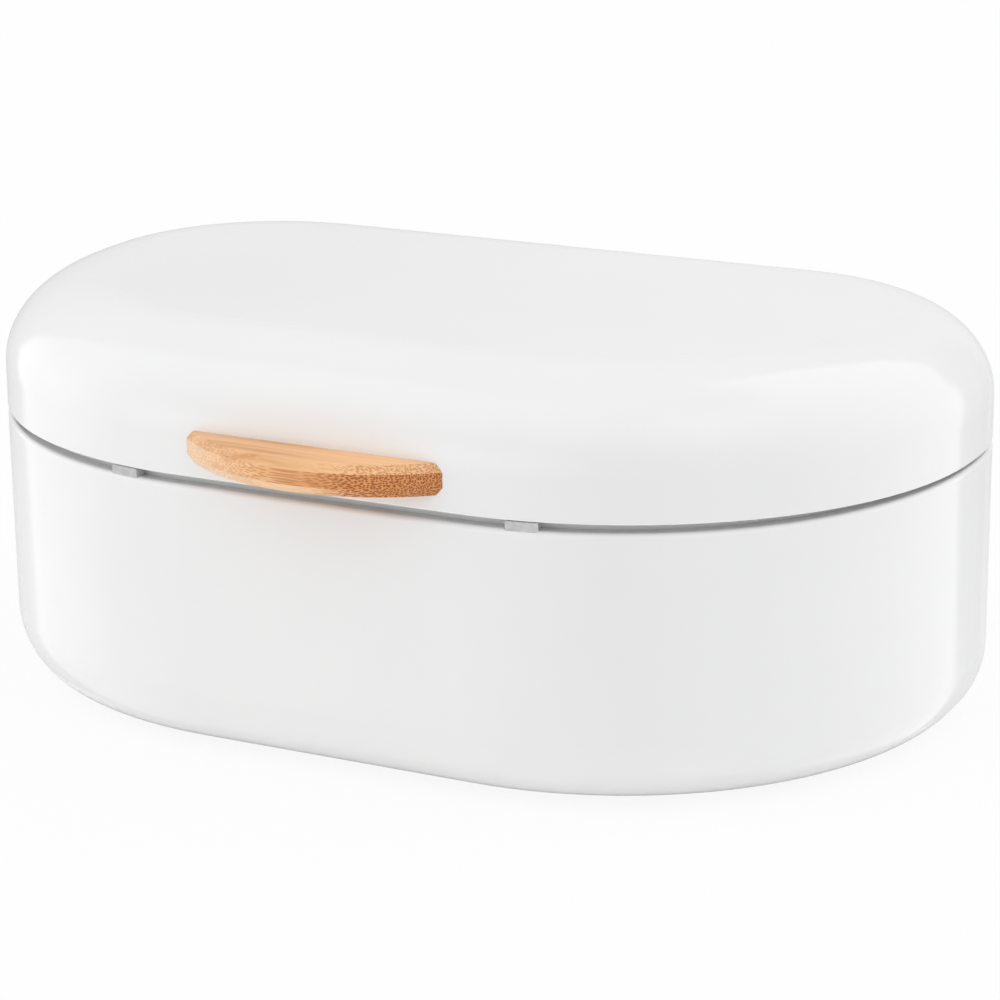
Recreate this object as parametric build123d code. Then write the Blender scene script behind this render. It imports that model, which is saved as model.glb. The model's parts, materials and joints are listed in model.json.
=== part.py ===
from build123d import *

import os
from math import asin, atan2, degrees, hypot, sqrt

# A steel bread box with a lid hinged at the back and a bamboo pull, in millimetres.
# +Z is up, the front faces -Y, and the plan is a rounded D with its flat side at the back.

# Plan of the tub and the lid
LENGTH = 400.0
DEPTH = 245.0
FRONT_CORNER_RADIUS = 142.5
END_STRAIGHT = 8.0

# Coated steel sheet
SHEET = 0.7

# Tub: the base edge is an elliptical round, and the rim turns inwards as a ledge
TUB_HEIGHT = 104.0
BASE_ROUND_IN = 17.5
BASE_ROUND_UP = 24.0
RIM_RADIUS = 2.0
LEDGE_WIDTH = 6.0

# Collar strip that stands inside the rim
COLLAR_SHEET = 0.8
COLLAR_ABOVE_RIM = 9.0
COLLAR_BELOW_RIM = 10.0

# Lid: an upright wall with a folded hem, and an elliptical round up to the flat top
LID_WALL_HEIGHT = 16.8
TOP_ROUND_IN = 41.5
TOP_ROUND_UP = 33.7
HEM_HEIGHT = 5.0
REAR_GAP = 0.4

# Feet, set in from the outline at the middle of each corner
FOOT_RADIUS = 8.0
FOOT_HEIGHT = 3.0
FOOT_INSET = 45.0
FOOT_DRAFT = 10.0
FOOT_EDGE = 0.8

# Bumpers on the front rim, measured along the rim from the end of the straight front
BUMPER_WIDTH = 12.2
BUMPER_HEIGHT = 3.2
BUMPER_ALONG = 25.0
BUMPER_SETBACK = 0.6
BUMPER_EDGE = 0.7
BUMPER_TO_COLLAR = 1.0
BUMPER_TO_LID = 0.2

# Handle: a segment of a disc whose rim is bevelled above and below an upright band
HANDLE_LENGTH = 105.5
HANDLE_REACH = 20.3
HANDLE_THICKNESS = 12.0
HANDLE_BEVEL_IN = 1.8
HANDLE_BEVEL_UP = 3.1
HANDLE_EDGE = 0.8

# Handle screws and washers
SCREW_SPACING = 56.0
SCREW_ABOVE_HEM = 6.95
SCREW_RADIUS = 1.75
SCREW_DEPTH = 10.0
SCREW_POINT = 3.0
SCREW_TIP_RADIUS = 0.4
SCREW_HEAD_RADIUS = 3.6
SCREW_HEAD_HEIGHT = 2.4
SCREW_HEAD_ROUND = 1.2
CROSS_LENGTH = 4.0
CROSS_WIDTH = 0.9
CROSS_DEPTH = 1.3
WASHER_RADIUS = 4.5
WASHER_THICKNESS = 1.0
FASTENER_CLEARANCE = 0.05

# Hinges on the flat back, measured from the ends of the flat
HINGE_FROM_CORNER = 30.5
HINGE_WIDTH = 40.0
LEAF_THICKNESS = 1.2
LEAF_CORNER = 2.5
LEAF_MARGIN = 3.0
LEAF_CUT_GAP = 0.5
PIN_RADIUS = 1.5
PIN_CLEARANCE = 0.05
PIN_HEAD_RADIUS = 2.3
PIN_HEAD_LENGTH = 0.8
KNUCKLE_WALL = 1.15
KNUCKLE_STANDOFF = 0.35
KNUCKLE_GAP = 0.3
LID_KNUCKLE_LENGTH = 14.4

# Stop lug on the lid's knuckle, which meets the tub's leaf when the lid stands open
LID_OPEN = 100.0
LUG_THICKNESS = 2.0
LUG_REACH = 2.2
LUG_CLEARANCE = 0.1

# Rivets through the leaves
RIVET_RADIUS = 1.6
RIVET_HEAD_RADIUS = 3.0
RIVET_HEAD_HEIGHT = 1.4
RIVET_HEAD_ROUND = 1.1
RIVET_TAIL_RADIUS = 2.6
RIVET_TAIL_HEIGHT = 1.0
RIVET_FROM_SIDE = 8.0
RIVET_TO_RIM = 6.5
RIVET_TO_HEM = 1.5

# Levels and places that follow from the sizes above
BACK_CORNER_RADIUS = DEPTH - FRONT_CORNER_RADIUS - END_STRAIGHT
FRONT_Y = -DEPTH / 2
BACK_Y = DEPTH / 2
BASE_Z = FOOT_HEIGHT
RIM_Z = BASE_Z + TUB_HEIGHT
LID_EDGE_Z = RIM_Z + REAR_GAP
HEM_TOP_Z = LID_EDGE_Z + HEM_HEIGHT
DOME_Z = LID_EDGE_Z + LID_WALL_HEIGHT
TOP_Z = DOME_Z + TOP_ROUND_UP
HEM_THICKNESS = 2 * SHEET
HEM_RADIUS = HEM_THICKNESS / 2
HANDLE_Z = HEM_TOP_Z + SCREW_ABOVE_HEM

KNUCKLE_RADIUS = PIN_RADIUS + PIN_CLEARANCE + KNUCKLE_WALL
HINGE_Y = BACK_Y + KNUCKLE_STANDOFF + KNUCKLE_RADIUS
HINGE_Z = RIM_Z
HINGE_AXIS = Axis((0, HINGE_Y, HINGE_Z), (-1, 0, 0))
LEAF_FACE_Y = BACK_Y + LEAF_THICKNESS
LEAF_CUT = KNUCKLE_RADIUS + LEAF_CUT_GAP
TUB_RIVET_Z = HINGE_Z - RIM_RADIUS - RIVET_HEAD_RADIUS - RIVET_TO_RIM
LID_RIVET_Z = HEM_TOP_Z + RIVET_TAIL_RADIUS + RIVET_TO_HEM
TUB_LEAF_LOW = TUB_RIVET_Z - RIVET_HEAD_RADIUS - LEAF_MARGIN
LID_LEAF_HIGH = LID_RIVET_Z + RIVET_HEAD_RADIUS + LEAF_MARGIN
RIVET_HOLE = RIVET_RADIUS + FASTENER_CLEARANCE
SCREW_HOLE = SCREW_RADIUS + FASTENER_CLEARANCE

# Centres of the plan's corners on the right, and places that are counted from them
FRONT_CENTRE = (LENGTH / 2 - FRONT_CORNER_RADIUS, FRONT_Y + FRONT_CORNER_RADIUS)
BACK_CENTRE = (LENGTH / 2 - BACK_CORNER_RADIUS, BACK_Y - BACK_CORNER_RADIUS)
HINGE_X = BACK_CENTRE[0] - HINGE_FROM_CORNER
SCREW_X = SCREW_SPACING / 2
BUMPER_TURN = degrees(BUMPER_ALONG / FRONT_CORNER_RADIUS)
BUMPER_SWEEP = degrees(BUMPER_WIDTH / FRONT_CORNER_RADIUS)

UPWARDS = (Align.CENTER, Align.CENTER, Align.MIN)
QUARTER = 90


def corners():
    """The plan's corners, counter-clockwise from front right: name, centre, radius and starting angle."""
    (front_x, front_y), (back_x, back_y) = FRONT_CENTRE, BACK_CENTRE
    return [
        ("front_right", (front_x, front_y), FRONT_CORNER_RADIUS, -QUARTER),
        ("back_right", (back_x, back_y), BACK_CORNER_RADIUS, 0),
        ("back_left", (-back_x, back_y), BACK_CORNER_RADIUS, QUARTER),
        ("front_left", (-front_x, front_y), FRONT_CORNER_RADIUS, 2 * QUARTER),
    ]


def corner_arcs(inset=0):
    """The plan's four corners as quarter circles, moved inwards by the inset."""
    return [CenterArc(centre, radius - inset, start, QUARTER) for _, centre, radius, start in corners()]


def plan_face(inset):
    """The plan, moved inwards by the inset, as a flat face."""
    arcs = corner_arcs(inset)
    sides = [Line(arcs[i - 1] @ 1, arc @ 0) for i, arc in enumerate(arcs)]
    return make_face(arcs + sides)


def around_plan(section):
    """Carries a section round the plan. Its X is the distance out from the wall line, its Y the height."""
    arcs = corner_arcs()
    ring = Part()
    for i, arc in enumerate(arcs):
        side = Line(arcs[i - 1] @ 1, arc @ 0)
        heading = side % 0
        outward = heading.rotate(Axis.Z, -QUARTER)
        at_side = Plane(side @ 0, x_dir=outward, z_dir=-heading) * section
        at_corner = Plane(arc @ 0, x_dir=outward, z_dir=-heading) * section
        ring += extrude(at_side, amount=side.length, dir=heading)
        ring += revolve(at_corner, Axis(arc.arc_center, (0, 0, 1)), QUARTER)
    return ring


def towards_back(x, y, z):
    """A plane at a point, facing the back, for round pieces that lie along Y."""
    return Plane((x, y, z), x_dir=(1, 0, 0), z_dir=(0, 1, 0))


def rod(x, y, z, radius, length):
    """A cylinder that starts at y and runs towards the back."""
    return towards_back(x, y, z) * Cylinder(radius, length, align=UPWARDS)


def along_pin(x):
    """A plane across a hinge's axis, for pieces that lie along its pin."""
    return Plane((x, HINGE_Y, HINGE_Z), x_dir=(0, 1, 0), z_dir=(1, 0, 0))


def rivet_places(x):
    """Where a leaf's two rivets stand, from left to right."""
    offset = HINGE_WIDTH / 2 - RIVET_FROM_SIDE
    return (x - offset, x + offset)


def quarter_ellipse(centre, across, up, start):
    """A quarter of an upright ellipse."""
    return EllipticalCenterArc(centre, across, up, start_angle=start, arc_size=QUARTER)


def without_rivet_holes(piece, hinge_x, z):
    """Cuts a hinge's two rivet holes through a leaf or through the sheet behind it."""
    for x in rivet_places(hinge_x):
        piece -= rod(x, BACK_Y - HEM_THICKNESS, z, RIVET_HOLE, HEM_THICKNESS + LEAF_THICKNESS)
    return piece


def tub_shell():
    """Deep-drawn tub: base, rounded lower edge, wall, and a rim turned inwards as a ledge."""
    low = (-BASE_ROUND_IN, BASE_Z + BASE_ROUND_UP)
    high = (-RIM_RADIUS, RIM_Z - RIM_RADIUS)
    section = make_face(
        [
            quarter_ellipse(low, BASE_ROUND_IN, BASE_ROUND_UP, -QUARTER),
            Line((0, low[1]), (0, high[1])),
            CenterArc(high, RIM_RADIUS, 0, QUARTER),
            Line((high[0], RIM_Z), (-LEDGE_WIDTH, RIM_Z)),
            Line((-LEDGE_WIDTH, RIM_Z), (-LEDGE_WIDTH, RIM_Z - SHEET)),
            Line((-LEDGE_WIDTH, RIM_Z - SHEET), (high[0], RIM_Z - SHEET)),
            CenterArc(high, RIM_RADIUS - SHEET, 0, QUARTER),
            Line((-SHEET, high[1]), (-SHEET, low[1])),
            quarter_ellipse(low, BASE_ROUND_IN - SHEET, BASE_ROUND_UP - SHEET, -QUARTER),
            Line((low[0], BASE_Z + SHEET), (low[0], BASE_Z)),
        ]
    )
    shell = around_plan(section) + Pos(0, 0, BASE_Z) * extrude(plan_face(BASE_ROUND_IN), amount=SHEET)
    for side in (-1, 1):
        shell = without_rivet_holes(shell, side * HINGE_X, TUB_RIVET_Z)
    return shell


def inner_collar():
    """Strip that stands along the ledge's inner edge and guides the lid."""
    strip = Rectangle(COLLAR_SHEET, COLLAR_BELOW_RIM + COLLAR_ABOVE_RIM, align=(Align.MAX, Align.MIN))
    return around_plan(Pos(-LEDGE_WIDTH, RIM_Z - COLLAR_BELOW_RIM) * strip)


def foot(centre, radius, start):
    """Tapered rubber foot under the middle of a corner."""
    place = Vector(radius - FOOT_INSET, 0).rotate(Axis.Z, start + QUARTER / 2) + Vector(*centre)
    disc = extrude(Circle(FOOT_RADIUS), amount=-FOOT_HEIGHT, taper=FOOT_DRAFT)
    disc = fillet(disc.edges().group_by(Axis.Z)[0], FOOT_EDGE)
    return Pos(place.X, place.Y, BASE_Z) * disc


def bumper():
    """Clear pad on the right of the front rim, whose underside follows the rim's round and the ledge."""
    front, back = -BUMPER_SETBACK, BUMPER_TO_COLLAR - LEDGE_WIDTH
    top = RIM_Z + BUMPER_HEIGHT
    round_centre = (-RIM_RADIUS, RIM_Z - RIM_RADIUS)
    front_out = RIM_RADIUS - BUMPER_SETBACK
    front_up = sqrt(RIM_RADIUS**2 - front_out**2)
    front_angle = degrees(atan2(front_up, front_out))
    section = make_face(
        [
            CenterArc(round_centre, RIM_RADIUS, front_angle, QUARTER - front_angle),
            Line((-RIM_RADIUS, RIM_Z), (back, RIM_Z)),
            Line((back, RIM_Z), (back, top)),
            Line((back, top), (front, top)),
            Line((front, top), (front, round_centre[1] + front_up)),
        ]
    )
    outward = Vector(0, -1).rotate(Axis.Z, BUMPER_TURN - BUMPER_SWEEP / 2)
    start = Vector(*FRONT_CENTRE) + outward * FRONT_CORNER_RADIUS
    at_start = Plane(start, x_dir=outward, z_dir=outward.rotate(Axis.Z, -QUARTER)) * section
    pad = revolve(at_start, Axis((*FRONT_CENTRE, 0), (0, 0, 1)), BUMPER_SWEEP)
    return fillet(pad.edges().group_by(Axis.Z)[-1], BUMPER_EDGE)


def lid_shell():
    """Domed lid with a hemmed edge, drawn level, with holes for the handle's screws and the rivets."""
    dome = (-TOP_ROUND_IN, DOME_Z)
    hem = (-HEM_RADIUS, LID_EDGE_Z + HEM_RADIUS)
    section = make_face(
        [
            CenterArc(hem, HEM_RADIUS, 2 * QUARTER, 2 * QUARTER),
            Line((0, hem[1]), (0, DOME_Z)),
            quarter_ellipse(dome, TOP_ROUND_IN, TOP_ROUND_UP, 0),
            Line((dome[0], TOP_Z), (dome[0], TOP_Z - SHEET)),
            quarter_ellipse(dome, TOP_ROUND_IN - SHEET, TOP_ROUND_UP - SHEET, 0),
            Line((-SHEET, DOME_Z), (-SHEET, HEM_TOP_Z)),
            Line((-SHEET, HEM_TOP_Z), (-HEM_THICKNESS, HEM_TOP_Z)),
            Line((-HEM_THICKNESS, HEM_TOP_Z), (-HEM_THICKNESS, hem[1])),
        ]
    )
    shell = around_plan(section) + Pos(0, 0, TOP_Z - SHEET) * extrude(plan_face(TOP_ROUND_IN), amount=SHEET)
    for side in (-1, 1):
        shell -= rod(side * SCREW_X, FRONT_Y, HANDLE_Z, SCREW_HOLE, HEM_THICKNESS)
        shell = without_rivet_holes(shell, side * HINGE_X, LID_RIVET_Z)
    return shell


def handle():
    """Bamboo pull: a bevelled disc, cut to the lid's plan, with blind holes for its screws."""
    half = HANDLE_LENGTH / 2
    disc_radius = (half**2 + HANDLE_REACH**2) / (2 * HANDLE_REACH)
    face_radius = disc_radius - HANDLE_BEVEL_IN
    top = HANDLE_THICKNESS / 2
    band = top - HANDLE_BEVEL_UP
    rim = [(face_radius, -top), (disc_radius, -band), (disc_radius, band), (face_radius, top)]
    section = Polyline((0, -top), *rim, (0, top), close=True)
    disc = revolve(Plane.XZ * make_face(section), Axis.Z)
    disc = fillet(disc.edges().filter_by(GeomType.CIRCLE), HANDLE_EDGE)
    behind = Pos(0, 0, HANDLE_Z - top) * extrude(plan_face(0), amount=HANDLE_THICKNESS)
    pull = Pos(0, FRONT_Y - HANDLE_REACH + disc_radius, HANDLE_Z) * disc - behind
    for side in (-1, 1):
        pull -= rod(side * SCREW_X, FRONT_Y - SCREW_DEPTH, HANDLE_Z, SCREW_HOLE, SCREW_DEPTH)
    return pull


def washer_seat():
    """Where a washer meets the lid's inner wall, which turns back past the end of the straight front."""
    inner = FRONT_CORNER_RADIUS - SHEET
    past = max(0, SCREW_X + WASHER_RADIUS - FRONT_CENTRE[0])
    return FRONT_Y + FRONT_CORNER_RADIUS - sqrt(inner**2 - past**2)


def handle_screw(x):
    """Pan-head wood screw from inside the lid into the handle, with a cross slot."""
    head_y = washer_seat() + WASHER_THICKNESS
    tip_y = FRONT_Y - SCREW_DEPTH + FASTENER_CLEARANCE
    shank_y = tip_y + SCREW_POINT
    head = rod(x, head_y, HANDLE_Z, SCREW_HEAD_RADIUS, SCREW_HEAD_HEIGHT)
    head = fillet(head.edges().group_by(Axis.Y)[-1], SCREW_HEAD_ROUND)
    point = Cone(SCREW_TIP_RADIUS, SCREW_RADIUS, SCREW_POINT, align=UPWARDS)
    screw = head + rod(x, shank_y, HANDLE_Z, SCREW_RADIUS, head_y - shank_y)
    screw += towards_back(x, tip_y, HANDLE_Z) * point
    for wide, tall in ((CROSS_LENGTH, CROSS_WIDTH), (CROSS_WIDTH, CROSS_LENGTH)):
        slot = Box(wide, CROSS_DEPTH, tall, align=(Align.CENTER, Align.MAX, Align.CENTER))
        screw -= Pos(x, head_y + SCREW_HEAD_HEIGHT, HANDLE_Z) * slot
    return screw


def handle_washer(x):
    """Flat washer between a handle screw's head and the lid."""
    disc = rod(x, washer_seat(), HANDLE_Z, WASHER_RADIUS, WASHER_THICKNESS)
    return disc - rod(x, washer_seat(), HANDLE_Z, SCREW_HOLE, WASHER_THICKNESS)


def leaf_plate(x, low, high, width):
    """Flat of a leaf against the back, from one level to another."""
    plate = Box(width, LEAF_THICKNESS, high - low, align=(Align.CENTER, Align.MIN, Align.MIN))
    return Pos(x, BACK_Y, low) * plate


def knuckle(x, length):
    """Rolled barrel round the pin, before its bore is cut."""
    return along_pin(x) * Cylinder(KNUCKLE_RADIUS, length)


def with_holes(leaf, x, rivet_z):
    """Cuts a leaf's bore for the pin and its two rivet holes."""
    leaf -= along_pin(x) * Cylinder(PIN_RADIUS + PIN_CLEARANCE, HINGE_WIDTH)
    return without_rivet_holes(leaf, x, rivet_z)


def tub_hinge_leaf(x):
    """Lower leaf of a hinge: a plate with a knuckle at each end."""
    plate = leaf_plate(x, TUB_LEAF_LOW, HINGE_Z - LEAF_CUT, HINGE_WIDTH)
    leaf = fillet(plate.edges().filter_by(Axis.Y).group_by(Axis.Z)[0], LEAF_CORNER)
    inner = LID_KNUCKLE_LENGTH / 2 + KNUCKLE_GAP
    length = HINGE_WIDTH / 2 - inner
    for side in (-1, 1):
        middle = x + side * (inner + length / 2)
        leaf += leaf_plate(middle, HINGE_Z - LEAF_CUT, HINGE_Z, length) + knuckle(middle, length)
    return with_holes(leaf, x, TUB_RIVET_Z)


def stop_lug(x):
    """Tab on the lid's knuckle, drawn where it meets the tub's leaf, then turned back with the lid."""
    tab = Pos(x, LEAF_FACE_Y + LUG_CLEARANCE, HINGE_Z) * Box(
        LID_KNUCKLE_LENGTH, LUG_THICKNESS, LEAF_CUT + LUG_REACH, align=(Align.CENTER, Align.MIN, Align.MAX)
    )
    return tab.rotate(HINGE_AXIS, -LID_OPEN - rest_tilt())


def lid_hinge_leaf(x):
    """Upper leaf of a hinge: a plate with one knuckle in the middle, which carries the stop lug."""
    plate = leaf_plate(x, HINGE_Z + LEAF_CUT, LID_LEAF_HIGH, HINGE_WIDTH)
    leaf = fillet(plate.edges().filter_by(Axis.Y).group_by(Axis.Z)[-1], LEAF_CORNER)
    leaf += leaf_plate(x, HINGE_Z, HINGE_Z + LEAF_CUT, LID_KNUCKLE_LENGTH)
    leaf += knuckle(x, LID_KNUCKLE_LENGTH) + stop_lug(x)
    return with_holes(leaf, x, LID_RIVET_Z)


def hinge_pin(x):
    """Pin through the knuckles, with a flat head over each end."""
    pin = along_pin(x) * Cylinder(PIN_RADIUS, HINGE_WIDTH)
    for side in (-1, 1):
        offset = side * (HINGE_WIDTH + PIN_HEAD_LENGTH) / 2
        pin += along_pin(x + offset) * Cylinder(PIN_HEAD_RADIUS, PIN_HEAD_LENGTH)
    return pin


def rivets(hinge_x, z):
    """Two domed rivets that clamp a leaf to the sheet, with flattened tails inside."""
    pair = []
    for x in rivet_places(hinge_x):
        head = rod(x, LEAF_FACE_Y, z, RIVET_HEAD_RADIUS, RIVET_HEAD_HEIGHT)
        head = fillet(head.edges().group_by(Axis.Y)[-1], RIVET_HEAD_ROUND)
        shank = rod(x, BACK_Y - SHEET, z, RIVET_RADIUS, SHEET + LEAF_THICKNESS)
        tail = rod(x, BACK_Y - SHEET - RIVET_TAIL_HEIGHT, z, RIVET_TAIL_RADIUS, RIVET_TAIL_HEIGHT)
        pair.append((head + shank + tail).solid())
    return Compound(pair)


def rest_tilt():
    """The angle that lifts the lid's edge just clear of the bumpers, about the hinge axis."""
    to_edge = Vector(0, HEM_RADIUS - FRONT_CORNER_RADIUS).rotate(Axis.Z, BUMPER_TURN)
    ahead = HINGE_Y - FRONT_CENTRE[1] - to_edge.Y
    edge_up = LID_EDGE_Z - HINGE_Z
    rise = RIM_Z + BUMPER_HEIGHT + BUMPER_TO_LID - HINGE_Z
    return degrees(asin(rise / hypot(ahead, edge_up)) - atan2(edge_up, ahead))


tub = {"tub_shell": tub_shell(), "inner_collar": inner_collar()}
for corner, *place in corners():
    tub[f"foot_{corner}"] = foot(*place)
tub["bumper_right"] = bumper()
tub["bumper_left"] = mirror(tub["bumper_right"], about=Plane.YZ)

lid = {"lid_shell": lid_shell(), "handle": handle()}
for hand, side in (("left", -1), ("right", 1)):
    tub[f"tub_hinge_leaf_{hand}"] = tub_hinge_leaf(side * HINGE_X)
    tub[f"hinge_pin_{hand}"] = hinge_pin(side * HINGE_X)
    tub[f"tub_rivets_{hand}"] = rivets(side * HINGE_X, TUB_RIVET_Z)
    lid[f"lid_hinge_leaf_{hand}"] = lid_hinge_leaf(side * HINGE_X)
    lid[f"lid_rivets_{hand}"] = rivets(side * HINGE_X, LID_RIVET_Z)
    lid[f"handle_screw_{hand}"] = handle_screw(side * SCREW_X)
    lid[f"handle_washer_{hand}"] = handle_washer(side * SCREW_X)

# The lid and what is fixed to it lean on the bumpers, and the origin lies under the middle of the whole
tilt = rest_tilt()
pieces = tub | {name: piece.rotate(HINGE_AXIS, tilt) for name, piece in lid.items()}
whole = Compound(list(pieces.values())).bounding_box()
shift = Pos(-whole.center().X, -whole.center().Y, -whole.min.Z)

os.makedirs("parts", exist_ok=True)
for name, piece in pieces.items():
    export_step(shift * piece, f"parts/{name}.step")

print("size", whole.size)
print("rest tilt", round(tilt, 4), "degrees")
print("hinge axis at", Vector(0, HINGE_Y, HINGE_Z) + shift.position)
print("plan centre at", shift.position)
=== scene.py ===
# %% [markdown]
# # A steel bread box with a bamboo pull
#
# The box is a deep-drawn tub with a domed lid that is hinged at the back. Its solid model is already made,
# so this lesson only dresses it: a camera, a studio, a finish for each material, and new meshes for the few
# pieces whose edges the eye rests on. Everything is in metres, in the solid model's own frame: the front
# faces -Y.

# %% Load the solid model
import json
from math import atan2, cos, degrees, radians, sin, sqrt, tan

import bmesh
import bpy
from mathutils import Matrix, Vector


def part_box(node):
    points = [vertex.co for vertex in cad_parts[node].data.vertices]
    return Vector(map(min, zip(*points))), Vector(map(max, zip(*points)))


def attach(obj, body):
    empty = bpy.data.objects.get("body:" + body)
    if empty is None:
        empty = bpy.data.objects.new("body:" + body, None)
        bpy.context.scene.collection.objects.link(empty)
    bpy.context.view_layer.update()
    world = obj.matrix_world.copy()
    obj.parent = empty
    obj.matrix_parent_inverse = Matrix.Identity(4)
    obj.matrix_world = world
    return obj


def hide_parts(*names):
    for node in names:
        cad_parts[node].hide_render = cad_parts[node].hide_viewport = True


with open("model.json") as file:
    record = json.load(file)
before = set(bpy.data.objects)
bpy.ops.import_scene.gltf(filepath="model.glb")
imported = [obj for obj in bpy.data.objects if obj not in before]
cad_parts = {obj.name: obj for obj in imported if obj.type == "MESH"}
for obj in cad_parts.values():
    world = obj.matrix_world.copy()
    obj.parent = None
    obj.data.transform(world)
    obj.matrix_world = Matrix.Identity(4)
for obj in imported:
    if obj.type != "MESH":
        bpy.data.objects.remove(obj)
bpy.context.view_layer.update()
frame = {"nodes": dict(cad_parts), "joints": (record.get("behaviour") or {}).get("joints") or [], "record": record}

nodes = frame["nodes"]
tub_low, tub_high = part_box("tub_shell")
plan_centre = (tub_low + tub_high) / 2
MILLIMETRES = 1000
tub_sides = [round(MILLIMETRES * side) for side in tub_high - tub_low]
print("loaded", len(nodes), "pieces; the tub is", tub_sides, "mm")

# %% [markdown]
# ## Camera
#
# The photograph was taken with a long lens, from the right of the front and a little above. A camera could
# be moved by eye until the outlines meet. Here its place was worked out from the outline and the seam, so
# it is written as the angles and distances a photographer would note: how far round, how high, how far
# away.

# %% Camera
CAMERA_AZIMUTH = radians(26.80)
CAMERA_ELEVATION = radians(17.17)
CAMERA_ROLL = radians(-0.67)
CAMERA_DISTANCE = 1.3197
CAMERA_LENS = 120.37
AIM_ABOVE_BASE = 0.0708
AIM_RIGHT = 0.01215


def direction(azimuth, elevation):
    """Unit vector towards a place that is so far round from the front, to the right, and so high."""
    return Vector((sin(azimuth) * cos(elevation), -cos(azimuth) * cos(elevation), sin(elevation)))


towards_camera = direction(CAMERA_AZIMUTH, CAMERA_ELEVATION)
camera_right = Vector((cos(CAMERA_AZIMUTH), sin(CAMERA_AZIMUTH), 0))
camera_up = towards_camera.cross(camera_right)
roll = Matrix.Rotation(CAMERA_ROLL, 3, towards_camera)
aim = Vector((0, plan_centre.y, tub_low.z + AIM_ABOVE_BASE)) + AIM_RIGHT * camera_right

bpy.ops.object.camera_add(location=aim + CAMERA_DISTANCE * towards_camera)
camera = bpy.context.object
axes = Matrix((roll @ camera_right, roll @ camera_up, towards_camera)).transposed()
camera.rotation_euler = axes.to_euler()
camera.data.lens = CAMERA_LENS
bpy.context.scene.camera = camera
print("camera at", [round(part, 3) for part in camera.location], "with a lens of", CAMERA_LENS, "mm")

# %% [markdown]
# ## Shader maths
#
# Node trees can be drawn by hand, but a formula is easier to read and to change. A Value wraps an output
# socket, so that a sum such as 1 - mask adds the Math nodes by itself. Every other node comes from
# Finish.node, which is told a node's type, its settings, and the numbers or links for its sockets.


# %% Shader maths
MIX_SHARE, MIX_FIRST, MIX_SECOND = 0, 6, 7
MIX_COLOUR = 2
OWN_SPELLING = {"Ior": "IOR"}


class Value:
    """What a socket gives out, in sums that become Math nodes."""

    def __init__(self, finish, socket):
        self.finish = finish
        self.socket = socket

    def math(self, operation, first, second):
        return self.finish.node("ShaderNodeMath", {"operation": operation}, {0: first, 1: second})

    def __add__(self, other):
        return self.math("ADD", self, other)

    def __radd__(self, other):
        return self.math("ADD", other, self)

    def __sub__(self, other):
        return self.math("SUBTRACT", self, other)

    def __rsub__(self, other):
        return self.math("SUBTRACT", other, self)

    def __mul__(self, other):
        return self.math("MULTIPLY", self, other)

    def __rmul__(self, other):
        return self.math("MULTIPLY", other, self)


class Finish:
    """The node tree of a material or of the world, filled node by node."""

    def __init__(self, owner):
        owner.use_nodes = True
        owner.node_tree.nodes.clear()
        self.owner = owner
        self.tree = owner.node_tree

    def node(self, kind, settings=None, sockets=None, output=0):
        """Adds a node, sets it up, fills its sockets with values or links, and gives back one output."""
        added = self.tree.nodes.new(kind)
        for name, setting in (settings or {}).items():
            setattr(added, name, setting)
        for name, content in (sockets or {}).items():
            if isinstance(content, Value):
                self.tree.links.new(content.socket, added.inputs[name])
            else:
                added.inputs[name].default_value = content
        return Value(self, added.outputs[output]) if added.outputs else None

    def place(self, scale=(1, 1, 1)):
        """Where a point lies on the piece, stretched along each axis."""
        spot = self.node("ShaderNodeTexCoord", output="Object")
        return self.node("ShaderNodeMapping", sockets={"Vector": spot, "Scale": scale})

    def noise(self, place, scale, detail=2.0, roughness=0.5):
        """Cloudy noise, with so many cells to the metre."""
        sockets = {"Vector": place, "Scale": scale, "Detail": detail, "Roughness": roughness}
        return self.node("ShaderNodeTexNoise", sockets=sockets, output="Fac")

    def ease(self, value, low, high, to_low=0.0, to_high=1.0):
        """Carries a value from one range to another, easing in and out and stopping at both ends."""
        sockets = {"Value": value, "From Min": low, "From Max": high, "To Min": to_low, "To Max": to_high}
        return self.node("ShaderNodeMapRange", {"interpolation_type": "SMOOTHSTEP"}, sockets)

    def blend(self, share, first, second):
        """Mixes two colours by a share from 0 to 1."""
        sockets = {MIX_SHARE: share, MIX_FIRST: first, MIX_SECOND: second}
        return self.node("ShaderNodeMix", {"data_type": "RGBA"}, sockets, MIX_COLOUR)

    def bump(self, height, depth):
        """Turns a height from 0 to 1 into a tilt of the surface, for a relief that is so deep."""
        return self.node("ShaderNodeBump", sockets={"Height": height, "Distance": depth}, output="Normal")

    def surface(self, **sockets):
        """Ends a material with one shader for everyday surfaces."""
        named = {}
        for name, content in sockets.items():
            title = name.replace("_", " ").title()
            named[OWN_SPELLING.get(title, title)] = content
        shader = self.node("ShaderNodeBsdfPrincipled", sockets=named)
        self.node("ShaderNodeOutputMaterial", sockets={"Surface": shader})
        return self.owner


print("shader maths ready")

# %% [markdown]
# ## Studio
#
# White goods on white are lit by large soft panels, and what draws their outline is not shadow but
# reflection: the gloss mirrors a bright panel at each side, and a pale grey between and behind them. A lamp
# and a sheet of paper would do for a start, but here one white floor is the background too. The camera sees
# it almost white, with the soft shadow under the box, and the gloss of the box sees it as a polished table
# that repeats the panels. Light Path tells these rays apart. Round the box the table also glows a little,
# like acrylic that is lit from below, which lifts the underside of the curves.

# %% Floor
FLOOR_SIZE = 12.0
FLOOR_WHITE = (0.9, 0.9, 0.9, 1)
FLOOR_GLOW = 0.9
FLOOR_BOUNCE = 0.09
TABLE_GLOW = 0.10
TABLE_LIT = 1.5
TABLE_UNLIT = 3.5
TABLE_POLISH = 0.08
TABLE_GREY = (0.95, 0.95, 0.95, 1)
WHITE = (1, 1, 1, 1)
BLACK = (0, 0, 0, 1)

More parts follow.
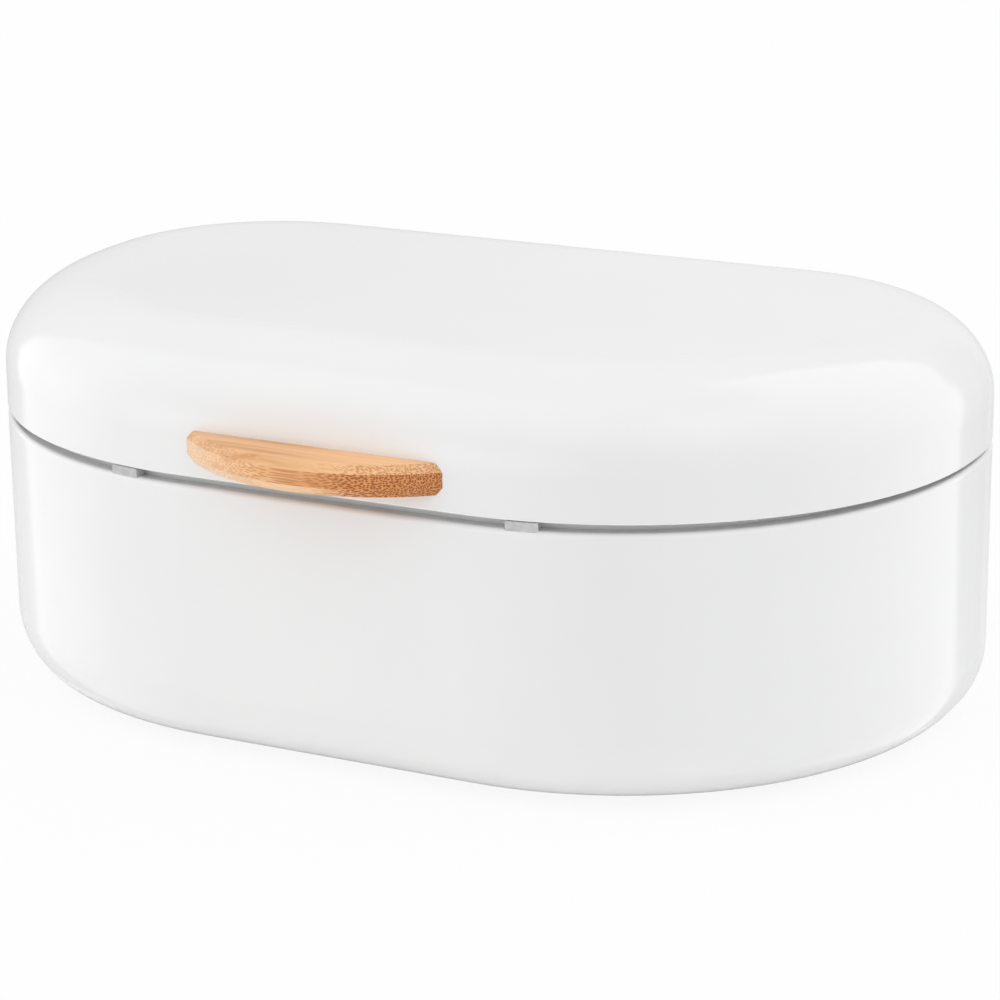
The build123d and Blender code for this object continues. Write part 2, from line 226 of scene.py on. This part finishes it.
bpy.ops.mesh.primitive_plane_add(size=FLOOR_SIZE)
floor = bpy.context.object
floor.name = "studio_floor"
paper = Finish(bpy.data.materials.new("studio_floor"))
seen = paper.node("ShaderNodeLightPath", output="Is Camera Ray")
spread = paper.node("ShaderNodeLightPath", output="Is Diffuse Ray")
mirrored = paper.node("ShaderNodeLightPath", output="Is Glossy Ray")
matt = paper.node("ShaderNodeBsdfDiffuse", sockets={"Color": FLOOR_WHITE})
glow = paper.node("ShaderNodeEmission", sockets={"Color": WHITE, "Strength": 1.0})
polish = paper.node("ShaderNodeBsdfGlossy", sockets={"Color": TABLE_GREY, "Roughness": TABLE_POLISH})
table = paper.node("ShaderNodeMixShader", sockets={0: mirrored, 1: matt, 2: polish})
in_box_sizes = paper.place((2 / (tub_high.x - tub_low.x), 2 / (tub_high.y - tub_low.y), 1))
away = paper.node("ShaderNodeVectorMath", {"operation": "LENGTH"}, {0: in_box_sizes}, "Value")
near_box = paper.ease(away, TABLE_LIT, TABLE_UNLIT, 1.0, 0.0)
from_below = near_box * (FLOOR_BOUNCE * spread + TABLE_GLOW * mirrored)
lit_white = paper.blend(from_below, BLACK, WHITE)
acrylic = paper.node("ShaderNodeEmission", sockets={"Color": lit_white, "Strength": 1.0})
lit_table = paper.node("ShaderNodeAddShader", sockets={0: table, 1: acrylic})
pale = paper.node("ShaderNodeMixShader", sockets={0: FLOOR_GLOW * seen, 1: lit_table, 2: glow})
paper.node("ShaderNodeOutputMaterial", sockets={"Surface": pale})
floor.data.materials.append(paper.owner)
print("floor", FLOOR_SIZE, "m wide")

# %% [markdown]
# Lamps could be hung round the box one by one. Here the whole room is painted instead, as a map of how much
# light comes from each direction: even walls, a broad panel at the left and at the right, each with a
# leaning back edge that the gloss draws as a line, a soft light high in front, a strip low in front, and
# less from round the camera. Directions are counted in degrees, round from the front to the right, and up
# from the floor.

# %% Tools for the room
room = Finish(bpy.data.worlds.new("studio"))
way = room.node("ShaderNodeTexCoord", output="Generated")
ways = [room.node("ShaderNodeSeparateXYZ", sockets={"Vector": way}, output=axis) for axis in "XYZ"]
rightward, backward, upward = ways
turned = room.node("ShaderNodeMath", {"operation": "ARCTAN2"}, {0: rightward, 1: -1 * backward})
raised = room.node("ShaderNodeMath", {"operation": "ARCSINE"}, {0: upward})
DEGREES = degrees(1)
round_from_front = DEGREES * turned
up_from_floor = DEGREES * raised


def soft_edge(angle, place, width, inside=0.0, outside=1.0):
    """A change across so many degrees, at a direction."""
    return room.ease(angle, place - width / 2, place + width / 2, inside, outside)


def lean(each, above):
    """How far an upright edge has leant round, at so much for each degree above a height."""
    return each * room.node("ShaderNodeMath", {"operation": "MAXIMUM"}, {0: up_from_floor - above, 1: 0.0})


def panel(gain, start, start_soft, stop, stop_soft, top, top_soft, start_lean=0.0, stop_lean=0.0):
    """More or less light from one part of the room, with soft edges."""
    begun = soft_edge(round_from_front - start_lean, start, start_soft)
    not_over = soft_edge(round_from_front - stop_lean, stop, stop_soft, 1.0, 0.0)
    return gain * begun * not_over * soft_edge(up_from_floor, top, top_soft, 1.0, 0.0)


print("directions counted in degrees")

# %% Panels
# A panel: its gain, then where it starts, stops and tops out, each with how many degrees that edge takes.
LEFT_PANEL = (0.48, -115, 5, -62, 60, 62, 30)
LEFT_LOW = (0.28, -113, 6, -60, 50, 16, 20)
LEFT_WALL = (0.27, -88, 26, -10, 70, 80, 22)
RIGHT_PANEL = (0.53, 42, 33, 150.5, 5, 66, 10)
RIGHT_BACK = (0.22, 118, 40, 150.5, 5, 66, 10)
RIGHT_CORNER = (-0.11, 151, 4, 174, 10, 26, 12)
LOW_FRONT = (1.057, -47, 24, 6, 36, 16, 28)
HIGH_FRONT = (0.268, -60, 60, 80, 60, 95, 1)
ROUND_CAMERA = (-0.442, -34, 40, 94, 80, 40, 40)
# A lean: degrees round for each degree up, and the height from which it leans.
LEFT_LEAN = (0.317, 0)
RIGHT_LEAN = (0.9, 17)

left_panel = panel(*LEFT_PANEL, start_lean=lean(*LEFT_LEAN))
left = left_panel + panel(*LEFT_LOW) + panel(*LEFT_WALL)
right_lean = lean(*RIGHT_LEAN)
right_panel = panel(*RIGHT_PANEL, stop_lean=right_lean)
right = right_panel + panel(*RIGHT_BACK, stop_lean=right_lean) + panel(*RIGHT_CORNER)
front = panel(*LOW_FRONT) + panel(*ROUND_CAMERA)
print("panels at the left, the right and the front")

# %% Walls
WALL_LEVEL = 0.69
BACK_WALL_GAIN = 0.094
# An edge: its direction, and how many degrees it takes.
HIGH_FRONT_FOOT = (26, 24)
BACK_WALL_LEFT = (-154, 10)
BACK_WALL_RIGHT = (171, 16)
BACK_WALL_TOP = (20, 16)

high_front = panel(*HIGH_FRONT) * soft_edge(up_from_floor, *HIGH_FRONT_FOOT)
behind = soft_edge(round_from_front, *BACK_WALL_LEFT, 1.0, 0.0)
behind += soft_edge(round_from_front, *BACK_WALL_RIGHT)
back_wall = BACK_WALL_GAIN * behind * soft_edge(up_from_floor, *BACK_WALL_TOP, 1.0, 0.0)
light = WALL_LEVEL + left + right + front + high_front + back_wall
seen = room.node("ShaderNodeLightPath", output="Is Camera Ray")
through = room.node("ShaderNodeLightPath", output="Is Transmission Ray")
sky = room.node("ShaderNodeBackground", sockets={"Color": WHITE, "Strength": light})
backdrop = room.node("ShaderNodeBackground", sockets={"Color": WHITE, "Strength": 1.0})
whole = room.node("ShaderNodeMixShader", sockets={0: seen + through, 1: sky, 2: backdrop})
room.node("ShaderNodeOutputWorld", sockets={"Surface": whole})
bpy.context.scene.world = room.owner
bpy.context.scene.view_settings.view_transform = "Standard"
print("walls at", WALL_LEVEL, "and the wall behind brighter by", BACK_WALL_GAIN)

# %% [markdown]
# ## Finishes
#
# The steel is powder coated. Baked powder flows almost level and keeps a faint orange peel, so the gloss is
# broken a little at the scale of a millimetre and drifts slowly over a hand's breadth.

# %% White coated steel
WHITE_COAT = (0.905, 0.905, 0.905, 1)
WHITE_COAT_THIN = (0.885, 0.886, 0.888, 1)
WHITE_GLOSS = 0.06
GREY_COAT = (0.9, 0.9, 0.9, 1)
GREY_COAT_THIN = (0.87, 0.87, 0.87, 1)
GREY_GLOSS = 0.3
DRIFT_CELLS = 9
DRIFT_RANGE = (0.3, 0.7)
DRIFT_DULLING = 0.05
PEEL_CELLS = 650
PEEL_DEPTH = 0.000004


def coated_steel(name, thick, thin, gloss):
    """Powder coat: slow drift in colour and gloss, and a fine orange peel."""
    coat = Finish(bpy.data.materials.new(name))
    drift = coat.noise(coat.place(), DRIFT_CELLS, detail=3)
    peel = coat.noise(coat.place(), PEEL_CELLS)
    colour = coat.blend(coat.ease(drift, *DRIFT_RANGE), thick, thin)
    dulled = gloss + DRIFT_DULLING * drift
    return coat.surface(base_color=colour, roughness=dulled, normal=coat.bump(peel, PEEL_DEPTH))


white_coat = coated_steel("white_coat", WHITE_COAT, WHITE_COAT_THIN, WHITE_GLOSS)
grey_coat = coated_steel("grey_coat", GREY_COAT, GREY_COAT_THIN, GREY_GLOSS)
print("made", white_coat.name, "and", grey_coat.name)

# %% [markdown]
# Laminated bamboo is strips glued up in layers, and each strip is a bundle of fibres that run the length of
# the pull. Cut along the fibres it shows long streaks, and cut across them it shows a dark dot for each
# bundle. A picture of grain could be wrapped round the pull, but it would show streaks everywhere. So the
# grain is a pattern in space, endless along X, and each cut through it shows what a saw would show. The
# layers are set off by their height, and light and shade are painted on them: the upright band in the middle
# is painted darker, more so towards the right end, where it turns from the light, and the left end and the
# lower layer are painted lighter, as if lit from the left and from below.

# %% Lean of the lid, for the layers
REST_TILT = radians(0.7011)
PULL_THICKNESS = 0.012
PULL_LEVEL = 0.11935
PULL_BEVEL_UP = 0.0031
hinge_place = Vector(frame["joints"][0]["pos_m"])
layer_half = PULL_THICKNESS / 2 - PULL_BEVEL_UP
pull_level = PULL_LEVEL + REST_TILT * hinge_place.y
print("the middle layer of the pull is", round(MILLIMETRES * 2 * layer_half, 1), "mm thick")

# %% Bamboo: fibres and layers
BUNDLE_STRETCH = (1, 1.4, 1)
FIBRE_CELLS = 1450
FIBRE_SCATTER = 0.9
FIBRE_EDGE = (0.25, 0.5)
SAWN_ACROSS = (0.003, 0.1)
# Ranges along the pull, in metres: they place the painted light at the left end, the painted shade on the middle
# band and at the far right end, and the denser dots.
RIGHT_END_RANGE = (-0.02, 0.025)
RIGHT_HALF_RANGE = (0.0, 0.04)
LEFT_END_RANGE = (-0.052, -0.01)
# Where the far right end is darkened, as painted shade.
PAINTED_END_SHADE_RANGE = (0.035, 0.053)
GLUE_LINE = 0.15

wood = Finish(bpy.data.materials.new("oiled_bamboo"))


def axes_of(vector, names):
    """The wanted parts of a vector."""
    return [wood.node("ShaderNodeSeparateXYZ", sockets={"Vector": vector}, output=name) for name in names]


length, depth, height = axes_of(wood.place(), "XYZ")
bundle_depth, bundle_height = axes_of(wood.place(BUNDLE_STRETCH), "YZ")
section = wood.node("ShaderNodeCombineXYZ", sockets={"X": bundle_depth, "Y": bundle_height})
cells = {"Vector": section, "Scale": FIBRE_CELLS, "Randomness": FIBRE_SCATTER}
to_fibre = wood.node("ShaderNodeTexVoronoi", {"voronoi_dimensions": "2D"}, cells, "Distance")
fibre = wood.ease(to_fibre, *FIBRE_EDGE, 1.0, 0.0)
(facing,) = axes_of(wood.node("ShaderNodeTexCoord", output="Normal"), "X")
cut_across = wood.ease(facing * facing, *SAWN_ACROSS)
towards_right_end = wood.ease(length, *RIGHT_END_RANGE)
in_right_half = wood.ease(length, *RIGHT_HALF_RANGE)
towards_left_end = wood.ease(length, *LEFT_END_RANGE, 1.0, 0.0)
# Painted shade: the share of the far right end that is darkened.
painted_end_shade = wood.ease(length, *PAINTED_END_SHADE_RANGE)
from_middle = MILLIMETRES * (height + REST_TILT * depth - pull_level)
layer_edge = MILLIMETRES * layer_half
upper = wood.ease(from_middle, layer_edge - GLUE_LINE, layer_edge)
lower = wood.ease(from_middle, -layer_edge, GLUE_LINE - layer_edge, 1.0, 0.0)
print("fibres", FIBRE_CELLS, "to the metre, in three layers")

# %% Bamboo: colours of the layers, with painted light and shade
GRAIN_STRETCH = (0.06, 1, 1)
STREAK_CELLS = 320
STREAK_ROUGHNESS = 0.6
STREAK_SHARE = 0.6
STRIP_CELLS = 75
TONE_RANGE = (0.4, 0.66)
BAMBOO_PALE = (1.0, 0.59, 0.3, 1)
BAMBOO_WARM = (0.76, 0.335, 0.1, 1)
# Painted light: the pale colour that the left end and the lower layer are lightened towards.
BAMBOO_PAINTED_LIGHT = (1.0, 0.72, 0.48, 1)
# Painted shade: the colour that darkens the top face towards the left end.
BAMBOO_TOP_PAINTED_SHADE = (0.5, 0.3, 0.17, 1)
# Painted shade: the colour that darkens the upright middle band.
BAMBOO_BAND_PAINTED_SHADE = (0.7, 0.265, 0.075, 1)
UPPER_EVEN = 0.6
# Shares of the painted light and painted shade on the layers:
LEFT_END_PAINTED_LIGHT = 0.85
TOP_LESS_PAINTED_LIGHT = 0.75
LOWER_PAINTED_LIGHT = 0.55
TOP_PAINTED_SHADE = 0.2
LEFT_BAND_PAINTED_SHADE = 0.05
RIGHT_BAND_PAINTED_SHADE = 0.75

along = wood.place(GRAIN_STRETCH)
streak = wood.noise(along, STREAK_CELLS, detail=4, roughness=STREAK_ROUGHNESS)
strip = wood.noise(along, STRIP_CELLS)
tone = wood.ease(STREAK_SHARE * streak + (1 - STREAK_SHARE) * strip, *TONE_RANGE)
grained = wood.blend(tone * (1 - UPPER_EVEN * upper * towards_right_end), BAMBOO_PALE, BAMBOO_WARM)
# Painted light: the left end is lightened, the top face less so, and so is the lower layer in the left half, as if
# lit from the left and from below.
painted_light = towards_left_end * (LEFT_END_PAINTED_LIGHT - TOP_LESS_PAINTED_LIGHT * upper) + LOWER_PAINTED_LIGHT * lower * (1 - in_right_half)
with_painted_light = wood.blend(painted_light, grained, BAMBOO_PAINTED_LIGHT)
# Painted shade: the top face is darkened towards the left end.
with_top_painted_shade = wood.blend(TOP_PAINTED_SHADE * upper * (1 - towards_right_end), with_painted_light, BAMBOO_TOP_PAINTED_SHADE)
# Painted shade: the upright middle band is darkened a little at the left end and most at the right end, which
# turns from the light.
darker = (1 - upper) * (1 - lower * (1 - in_right_half)) * (LEFT_BAND_PAINTED_SHADE + RIGHT_BAND_PAINTED_SHADE * towards_right_end)
with_band_painted_shade = wood.blend(darker, with_top_painted_shade, BAMBOO_BAND_PAINTED_SHADE)
# The darkening printed here is painted shade on the middle band, towards the right end.
print("the middle layer is darker by", RIGHT_BAND_PAINTED_SHADE, "towards the root")

# %% Bamboo: streaks and dots, with painted shade at the far right end
# Fibre colour: the dark dots, and also the painted shade of the far right end.
BAMBOO_FIBRE_AND_END_SHADE = (0.36, 0.09, 0.006, 1)
FIBRE_DEPTH = 0.00003
STREAKS = 0.1
MIDDLE_STREAKS = 0.3
TIP_DOTS = 0.24
ROOT_DOTS = 0.74
LOWER_DOTS = 0.4
UPPER_PALER = 0.5
# Painted shade: how far the far right end is darkened towards the fibre colour.
END_PAINTED_SHADE = 0.12
BAMBOO_SHEEN = 0.3
FIBRE_DULLING = 0.2

sawn_along = (1 - cut_across) * (STREAKS + MIDDLE_STREAKS * (1 - upper) * (1 - lower))
sawn_across = cut_across * (TIP_DOTS + ROOT_DOTS * towards_right_end + LOWER_DOTS * lower * in_right_half)
shown = (sawn_along + sawn_across) * (1 - UPPER_PALER * upper * towards_right_end)
# The fibre colour darkens the dots and, as painted shade, the far right end.
bamboo = wood.surface(
    base_color=wood.blend(fibre * shown + END_PAINTED_SHADE * painted_end_shade, with_band_painted_shade, BAMBOO_FIBRE_AND_END_SHADE),
    roughness=BAMBOO_SHEEN + FIBRE_DULLING * fibre,
    normal=wood.bump(1 - fibre, FIBRE_DEPTH),
)
print("made", bamboo.name)

# %% [markdown]
# The small parts need less: milky silicone for the pads, bright nickel for the hinges and fixings, with the
# faint streaks of the rolled strip, and matt rubber with a fine moulded grain for the feet. A flat colour
# would pass from a step away but not close by, so each drifts a little in colour and in gloss.

# %% Silicone
SILICONE_CLEAR = (0.95, 0.95, 0.95, 1)
SILICONE_CLOUDY = (0.8, 0.8, 0.8, 1)
SILICONE_INDEX = 1.41
SILICONE_CLARITY = 0.35
SILICONE_SHEEN = 0.28
HAZE_DULLING = 0.12
HAZE_CELLS = 400
HAZE_RANGE = (0.35, 0.65)

silicone_finish = Finish(bpy.data.materials.new("milky_silicone"))
haze = silicone_finish.noise(silicone_finish.place(), HAZE_CELLS, detail=3)
cloudy = silicone_finish.ease(haze, *HAZE_RANGE)
silicone = silicone_finish.surface(
    base_color=silicone_finish.blend(cloudy, SILICONE_CLEAR, SILICONE_CLOUDY),
    roughness=SILICONE_SHEEN + HAZE_DULLING * haze,
    transmission_weight=SILICONE_CLARITY,
    ior=SILICONE_INDEX,
)
print("made", silicone.name)

# %% Nickel and rubber
NICKEL_WARM = (0.72, 0.70, 0.66, 1)
NICKEL_COOL = (0.64, 0.63, 0.61, 1)
NICKEL_STRETCH = (0.06, 1, 1)
NICKEL_STREAK_CELLS = 1800
NICKEL_STREAK_DEPTH = 0.000006
NICKEL_CLOUD_CELLS = 60
NICKEL_SHEEN = 0.2
STREAK_DULLING = 0.2
RUBBER_BLACK = (0.022, 0.022, 0.023, 1)
RUBBER_GREYED = (0.045, 0.045, 0.046, 1)
RUBBER_GRAIN_CELLS = 1500
RUBBER_GRAIN_DEPTH = 0.00003
RUBBER_BLOOM_CELLS = 90
RUBBER_SHEEN = 0.62
GRAIN_DULLING = 0.2

nickel_finish = Finish(bpy.data.materials.new("bright_nickel"))
brushed = nickel_finish.noise(nickel_finish.place(NICKEL_STRETCH), NICKEL_STREAK_CELLS, detail=3)
cloud = nickel_finish.noise(nickel_finish.place(), NICKEL_CLOUD_CELLS, detail=3)
nickel = nickel_finish.surface(
    base_color=nickel_finish.blend(cloud, NICKEL_WARM, NICKEL_COOL),
    metallic=1.0,
    roughness=NICKEL_SHEEN + STREAK_DULLING * brushed,
    normal=nickel_finish.bump(brushed, NICKEL_STREAK_DEPTH),
)

rubber_finish = Finish(bpy.data.materials.new("moulded_rubber"))
grain = rubber_finish.noise(rubber_finish.place(), RUBBER_GRAIN_CELLS, detail=4)
bloom = rubber_finish.noise(rubber_finish.place(), RUBBER_BLOOM_CELLS)
rubber = rubber_finish.surface(
    base_color=rubber_finish.blend(bloom, RUBBER_BLACK, RUBBER_GREYED),
    roughness=RUBBER_SHEEN + GRAIN_DULLING * grain,
    normal=rubber_finish.bump(grain, RUBBER_GRAIN_DEPTH),
)
print("made", nickel.name, "and", rubber.name)

# %% [markdown]
# The record says which finish each piece has. A new piece could bring its own material, but the solid
# pieces are already there with a plain one, so the finish goes into the slot that holds it and the mesh
# stays as it is.

# %% Dress the solid pieces
FINISHES = {
    "coated_steel": white_coat,
    "collar_steel": grey_coat,
    "bamboo": bamboo,
    "clear_silicone": silicone,
    "plated_steel": nickel,
    "foot_rubber": rubber,
}
for subpart in frame["record"]["subparts"]:
    nodes[subpart["node"]].material_slots[0].material = FINISHES[subpart["material_slot"]]
print("dressed", len(nodes), "pieces in", len(FINISHES), "finishes")

# %% [markdown]
# ## Pull
#
# The pull is a slice of a bamboo disc, sawn off flat where it meets the lid and bevelled above and below,
# so that an upright band is left round its front. It could be drawn as an outline and extruded, but a
# bevelled edge is easier to hold on a whole disc. So the work follows the joiner: turn the disc, bevel it,
# ease its edges, saw it off, and lean it with the lid, which rests a little open on its pads.

# %% Tools for modelling
NEAR = 0.00001
FINE = 0.0000001
SMOOTH_BELOW = radians(40)


def edit(piece):
    """Selects one piece alone and opens its mesh."""
    bpy.ops.object.select_all(action="DESELECT")
    bpy.context.view_layer.objects.active = piece
    piece.select_set(True)
    bpy.ops.object.mode_set(mode="EDIT")


def pick(kind, test):
    """Selects only the corners, edges or faces that pass a test."""
    bpy.ops.mesh.select_all(action="DESELECT")
    bpy.ops.mesh.select_mode(type=kind)
    mesh = bmesh.from_edit_mesh(bpy.context.object.data)
    for part in {"VERT": mesh.verts, "EDGE": mesh.edges, "FACE": mesh.faces}[kind]:
        if test(part):
            part.select_set(True)
    mesh.select_flush_mode()
    bmesh.update_edit_mesh(bpy.context.object.data)


def close_edit(smooth_below=SMOOTH_BELOW):
    """Merges doubles, turns the faces outwards, leaves the mesh and rounds its shading."""
    bpy.ops.mesh.select_all(action="SELECT")
    bpy.ops.mesh.remove_doubles(threshold=FINE)
    bpy.ops.mesh.normals_make_consistent(inside=False)
    bpy.ops.object.mode_set(mode="OBJECT")
    bpy.ops.object.transform_apply(location=True, rotation=True, scale=True)
    bpy.ops.object.shade_smooth_by_angle(angle=smooth_below)


def copy_of(piece, name):
    """A copy of a piece, with a mesh of its own."""
    bpy.ops.object.select_all(action="DESELECT")
    bpy.context.view_layer.objects.active = piece
    piece.select_set(True)
    bpy.ops.object.duplicate()
    copy = bpy.context.object
    copy.name = name
    return copy


def fit_piece(piece, body, slot, *replaced):
    """Puts a finished piece on its body, in its finish, in place of the solids it stands for."""
    piece.data.materials.clear()
    piece.data.materials.append(FINISHES[slot])
    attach(piece, body)
    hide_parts(*replaced)
    print(piece.name, "has", len(piece.data.polygons), "faces and rides on the", body)


print("the lid turns about", [round(part, 4) for part in hinge_place])

# %% Turn and bevel the disc
PULL_LENGTH = 0.1055
PULL_REACH = 0.0203
PULL_BEVEL_IN = 0.0018
PULL_EDGE = 0.0008
PULL_STEPS = 480

disc_radius = ((PULL_LENGTH / 2) ** 2 + PULL_REACH**2) / (2 * PULL_REACH)
face_share = 1 - PULL_BEVEL_IN / disc_radius
front_y = tub_low.y
disc_centre = Vector((0, front_y - PULL_REACH + disc_radius, PULL_LEVEL))
half_thick = PULL_THICKNESS / 2
band = layer_half

bpy.ops.object.select_all(action="DESELECT")
bpy.ops.mesh.primitive_cylinder_add(
    vertices=PULL_STEPS, radius=disc_radius, depth=PULL_THICKNESS, location=disc_centre
)
pull = bpy.context.object
pull.name = "bamboo_pull"
edit(pull)
for height in (-band, band):
    bpy.ops.mesh.select_all(action="SELECT")
    bpy.ops.mesh.bisect(plane_co=disc_centre + Vector((0, 0, height)), plane_no=(0, 0, 1), threshold=FINE)
pick("VERT", lambda corner: abs(corner.co.z) > half_thick - NEAR)
bpy.ops.transform.resize(value=(face_share, face_share, 1), center_override=disc_centre)
disc_sizes = [round(MILLIMETRES * radius, 2) for radius in (disc_radius, disc_radius * face_share)]
print("radius of the disc and of its faces:", disc_sizes, "mm")

# %% Ease its edges and saw it off
FACE_EASE = PULL_EDGE * tan(atan2(PULL_BEVEL_UP, PULL_BEVEL_IN) / 2)
BAND_EASE = PULL_EDGE * tan(atan2(PULL_BEVEL_IN, PULL_BEVEL_UP) / 2)
EASE_STEPS = 4
PULL_SMOOTH_BELOW = radians(20)


def ring_at(height):
    """A test for the edges of the two rings that lie so far above and below the disc's middle."""
    return lambda edge: all(abs(abs(corner.co.z) - height) < NEAR for corner in edge.verts)


for height, ease in ((half_thick, FACE_EASE), (band, BAND_EASE)):
    pick("EDGE", ring_at(height))
    bpy.ops.mesh.bevel(offset=ease, segments=EASE_STEPS, affect="EDGES")
bpy.ops.mesh.select_all(action="SELECT")
bpy.ops.mesh.bisect(
    plane_co=(0, front_y, 0), plane_no=(0, 1, 0), clear_outer=True, use_fill=True, threshold=FINE
)
close_edit(PULL_SMOOTH_BELOW)
pull.matrix_world = (
    Matrix.Translation(hinge_place) @ Matrix.Rotation(-REST_TILT, 4, "X") @ Matrix.Translation(-hinge_place)
)
bpy.ops.object.transform_apply(location=True, rotation=True, scale=True)
fit_piece(pull, "lid", "bamboo", "handle")

# %% [markdown]
# ## Pads and feet
#
# Two clear pads keep the lid off the rim. Each is a short length of one section, with a foot that follows
# the round of the rim, so its section is drawn once and spun round the centre of the box's front corner.
# The other pad is its mirror image.

# %% Section of a pad
RIM_RADIUS = 0.002
FRONT_CORNER_RADIUS = 0.1425
PAD_HEIGHT = 0.0032
PAD_FRONT = 0.0006
PAD_BACK = 0.005
PAD_WIDTH = 0.0122
PAD_ALONG = 0.025
PAD_EDGE = 0.0007
SECTION_STEPS = 16

corner_centre = Vector((tub_high.x - FRONT_CORNER_RADIUS, tub_low.y + FRONT_CORNER_RADIUS, 0))
rim_top = tub_high.z
pad_turn = (PAD_ALONG - PAD_WIDTH / 2) / FRONT_CORNER_RADIUS
pad_sweep = PAD_WIDTH / FRONT_CORNER_RADIUS
pad_depth = PAD_BACK - PAD_FRONT


def rim_drop(inward):
    """How far the rim's round has fallen away, so far in from the wall."""
    across = max(0, RIM_RADIUS - inward)
    return RIM_RADIUS - sqrt(RIM_RADIUS**2 - across**2)


bpy.ops.object.select_all(action="DESELECT")
bpy.ops.mesh.primitive_grid_add(x_subdivisions=1, y_subdivisions=SECTION_STEPS, size=1)
pad = bpy.context.object
pad.name = "clear_pad_right"
pad.scale = (PAD_HEIGHT, pad_depth, 1)
pad.rotation_euler = (0, radians(-90), 0)
pad.location = (
    corner_centre.x,
    tub_low.y + (PAD_FRONT + PAD_BACK) / 2,
    rim_top + PAD_HEIGHT / 2,
)
bpy.ops.object.transform_apply(location=True, rotation=True, scale=True)
edit(pad)
for step in range(SECTION_STEPS + 1):
    inward = PAD_FRONT + pad_depth * step / SECTION_STEPS
    here = tub_low.y + inward
    pick("VERT", lambda corner: abs(corner.co.y - here) < NEAR and corner.co.z < rim_top + NEAR)
    bpy.ops.transform.translate(value=(0, 0, -rim_drop(inward)))
section_sizes = [round(MILLIMETRES * size, 1) for size in (pad_depth, PAD_HEIGHT)]
print("depth and height of a pad's section:", section_sizes, "mm")

# %% Spin it along the rim
PAD_STEPS = 16
EDGE_STEPS = 4
UPRIGHT_BELOW = 0.5

bpy.ops.mesh.select_all(action="SELECT")
bpy.ops.transform.rotate(value=-pad_turn, orient_axis="Z", center_override=corner_centre)
bpy.ops.mesh.spin(steps=PAD_STEPS, angle=-pad_sweep, center=corner_centre, axis=(0, 0, 1))
bpy.ops.mesh.select_all(action="SELECT")
bpy.ops.mesh.remove_doubles(threshold=FINE)
bpy.ops.mesh.normals_make_consistent(inside=False)
pad_top = rim_top + PAD_HEIGHT
pick(
    "EDGE",
    lambda edge: all(corner.co.z > pad_top - NEAR for corner in edge.verts)
    and any(face.normal.z < UPRIGHT_BELOW for face in edge.link_faces),
)
bpy.ops.mesh.bevel(offset=PAD_EDGE, segments=EDGE_STEPS, affect="EDGES")
close_edit()
print(pad.name, "has", len(pad.data.polygons), "faces")

# %% Mirror it to the left
left_pad = copy_of(pad, "clear_pad_left")
edit(left_pad)
bpy.ops.mesh.select_all(action="SELECT")
bpy.ops.transform.resize(value=(-1, 1, 1), center_override=(0, 0, 0))
close_edit()
fit_piece(pad, "tub", "clear_silicone", "bumper_right")
fit_piece(left_pad, "tub", "clear_silicone", "bumper_left")

# %% [markdown]
# The feet are moulded buttons under the base. They taper so that they leave the mould, their lower edge is
# rounded, and a shallow ring keeps them from sliding and lets air out when they are pressed on. One is made
# under the first corner, and the other three are copies of it.

# %% One foot
FOOT_DRAFT = radians(10)
FOOT_EDGE = 0.0008
FOOT_STEPS = 72
RING_IN = 0.0022
RING_WIDTH = 0.0012
RING_DEPTH = 0.0006
FACING_DOWN = -0.9
FEET = [name for name in nodes if name.startswith("foot_")]

low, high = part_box(FEET[0])
foot_radius = (high.x - low.x) / 2
foot_height = high.z - low.z
foot_place = (low + high) / 2
sole_radius = foot_radius - foot_height * tan(FOOT_DRAFT)
sole_share = sole_radius / foot_radius
ring_radius = sole_radius - RING_IN - RING_WIDTH / 2

bpy.ops.object.select_all(action="DESELECT")
bpy.ops.mesh.primitive_cylinder_add(
    vertices=FOOT_STEPS, radius=foot_radius, depth=foot_height, location=foot_place
)
first_foot = bpy.context.object


def at_sole_edge(place):
    """Whether a corner lies on the outer edge of the sole."""
    return place.xy.length > sole_radius - NEAR and place.z < 0


edit(first_foot)
pick("FACE", lambda face: face.normal.z < FACING_DOWN)
bpy.ops.transform.resize(value=(sole_share, sole_share, 1), center_override=foot_place)
for inset in (RING_IN, RING_WIDTH):
    bpy.ops.mesh.inset(thickness=inset, depth=0)
pick("FACE", lambda face: abs(face.calc_center_median().xy.length - ring_radius) < RING_WIDTH / 2)
bpy.ops.mesh.extrude_region_move(TRANSFORM_OT_translate={"value": (0, 0, RING_DEPTH)})
pick("EDGE", lambda edge: all(at_sole_edge(corner.co) for corner in edge.verts))
bpy.ops.mesh.bevel(offset=FOOT_EDGE, segments=EDGE_STEPS, affect="EDGES")
close_edit()
foot_sizes = [round(MILLIMETRES * size, 1) for size in (2 * foot_radius, foot_height)]
print("width and height of a foot:", foot_sizes, "mm")

# %% Four feet
for name in FEET:
    copy = copy_of(first_foot, name.replace("foot", "rubber_foot"))
    copy.location = (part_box(name)[0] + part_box(name)[1]) / 2 - foot_place
    bpy.ops.object.transform_apply(location=True, rotation=True, scale=True)
    fit_piece(copy, "tub", "foot_rubber", name)
bpy.data.objects.remove(first_foot)
